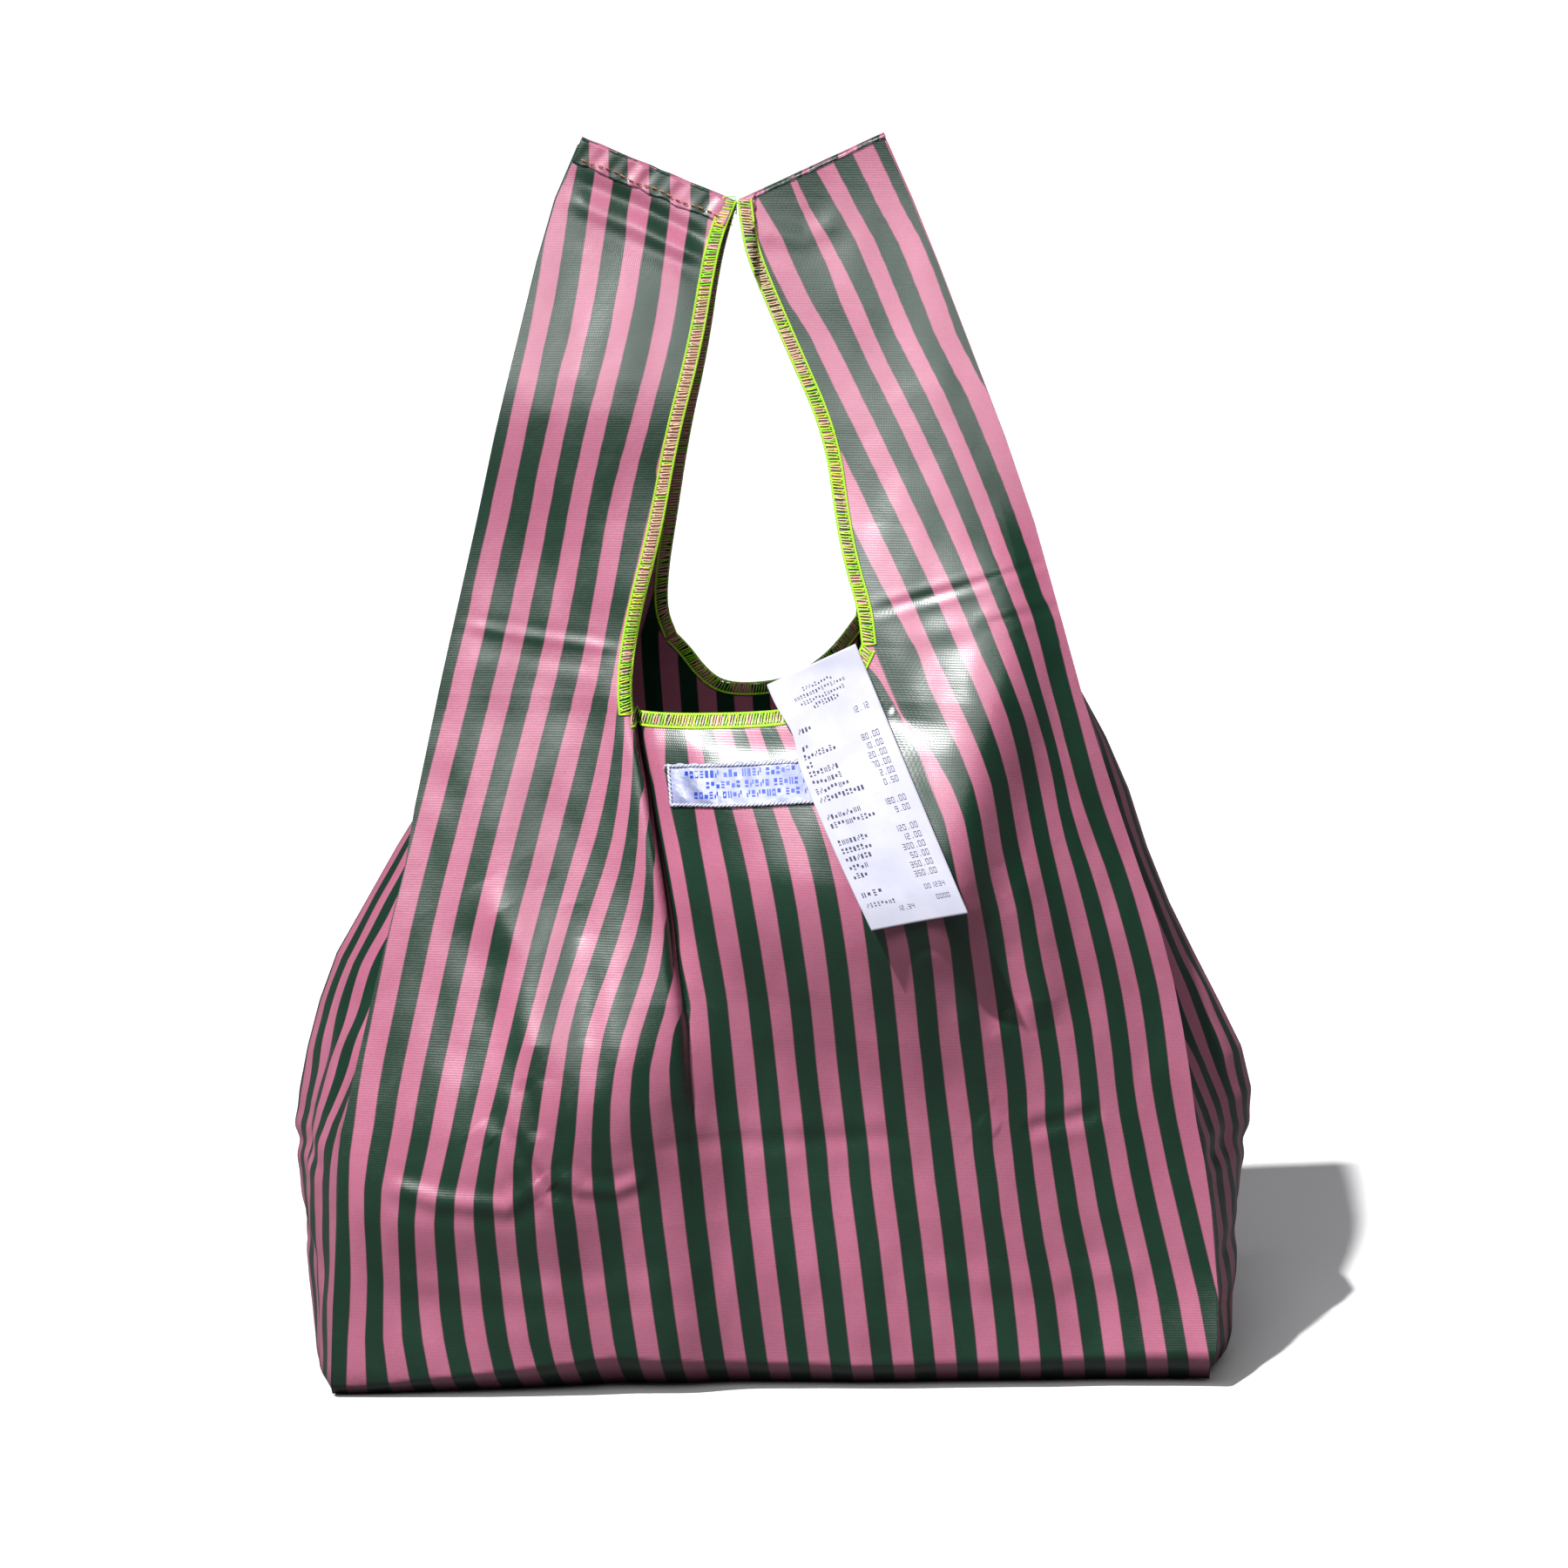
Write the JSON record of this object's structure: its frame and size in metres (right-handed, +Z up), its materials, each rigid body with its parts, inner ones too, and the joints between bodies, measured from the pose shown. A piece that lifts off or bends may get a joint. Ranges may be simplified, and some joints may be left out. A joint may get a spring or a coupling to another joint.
{
  "type": "striped T-shirt carrier bag",
  "caption": "Soft standing carrier bag with side gussets, two handle straps that swing apart, overlocked neckline, sewn label and a loose paper slip over the front edge.",
  "frame": {"origin": "centre of the base, on the floor", "axes": "+Z up, the front with the label faces -Y, +X is to the right of someone looking at the front"},
  "size_m": [0.484, 0.2419, 0.6066],
  "materials": {
    "bag_cloth": "semi-gloss",
    "bag_cloth_shaded": "semi-gloss",
    "overlock_thread": "satin",
    "label_film": "gloss",
    "label_thread": "satin",
    "hem_thread": "satin",
    "slip_paper": "matte"
  },
  "bodies": {
    "bag_body": {"front_panel": "bag_cloth", "back_panel": "bag_cloth", "left_gusset_front_half": "bag_cloth_shaded", "left_gusset_back_half": "bag_cloth_shaded", "right_gusset_front_half": "bag_cloth_shaded", "right_gusset_back_half": "bag_cloth_shaded", "base_panel": "bag_cloth_shaded", "bottom_seam": "bag_cloth_shaded", "front_neck_overlock": "overlock_thread", "back_neck_overlock": "overlock_thread", "front_label": "label_film", "front_label_stitching": "label_thread"},
    "left_strap": {"left_strap_front": "bag_cloth", "left_strap_back": "bag_cloth", "left_strap_front_overlock": "overlock_thread", "left_strap_back_overlock": "overlock_thread", "left_strap_gusset": "bag_cloth_shaded", "left_strap_hem": "bag_cloth", "left_strap_hem_stitching": "hem_thread"},
    "right_strap": {"right_strap_front": "bag_cloth", "right_strap_back": "bag_cloth", "right_strap_front_overlock": "overlock_thread", "right_strap_back_overlock": "overlock_thread", "right_strap_gusset": "bag_cloth_shaded", "right_strap_hem": "bag_cloth", "right_strap_hem_stitching": "hem_thread"},
    "receipt_slip": {"receipt": "slip_paper"}
  },
  "joints": [
    {"name": "left_strap_swing", "type": "hinge", "parent": "bag_body", "child": "left_strap", "pos_m": [-0.116, 0, 0.35], "axis": [0, -1, 0], "range_deg": [0, 50]},
    {"name": "right_strap_swing", "type": "hinge", "parent": "bag_body", "child": "right_strap", "pos_m": [0.091, 0, 0.355], "axis": [0, 1, 0], "range_deg": [0, 50]},
    {"name": "receipt_pull", "type": "slide", "parent": "bag_body", "child": "receipt_slip", "axis": [-0.3601, -0.12, 0.9252], "range_m": [0, 0.13]}
  ]
}
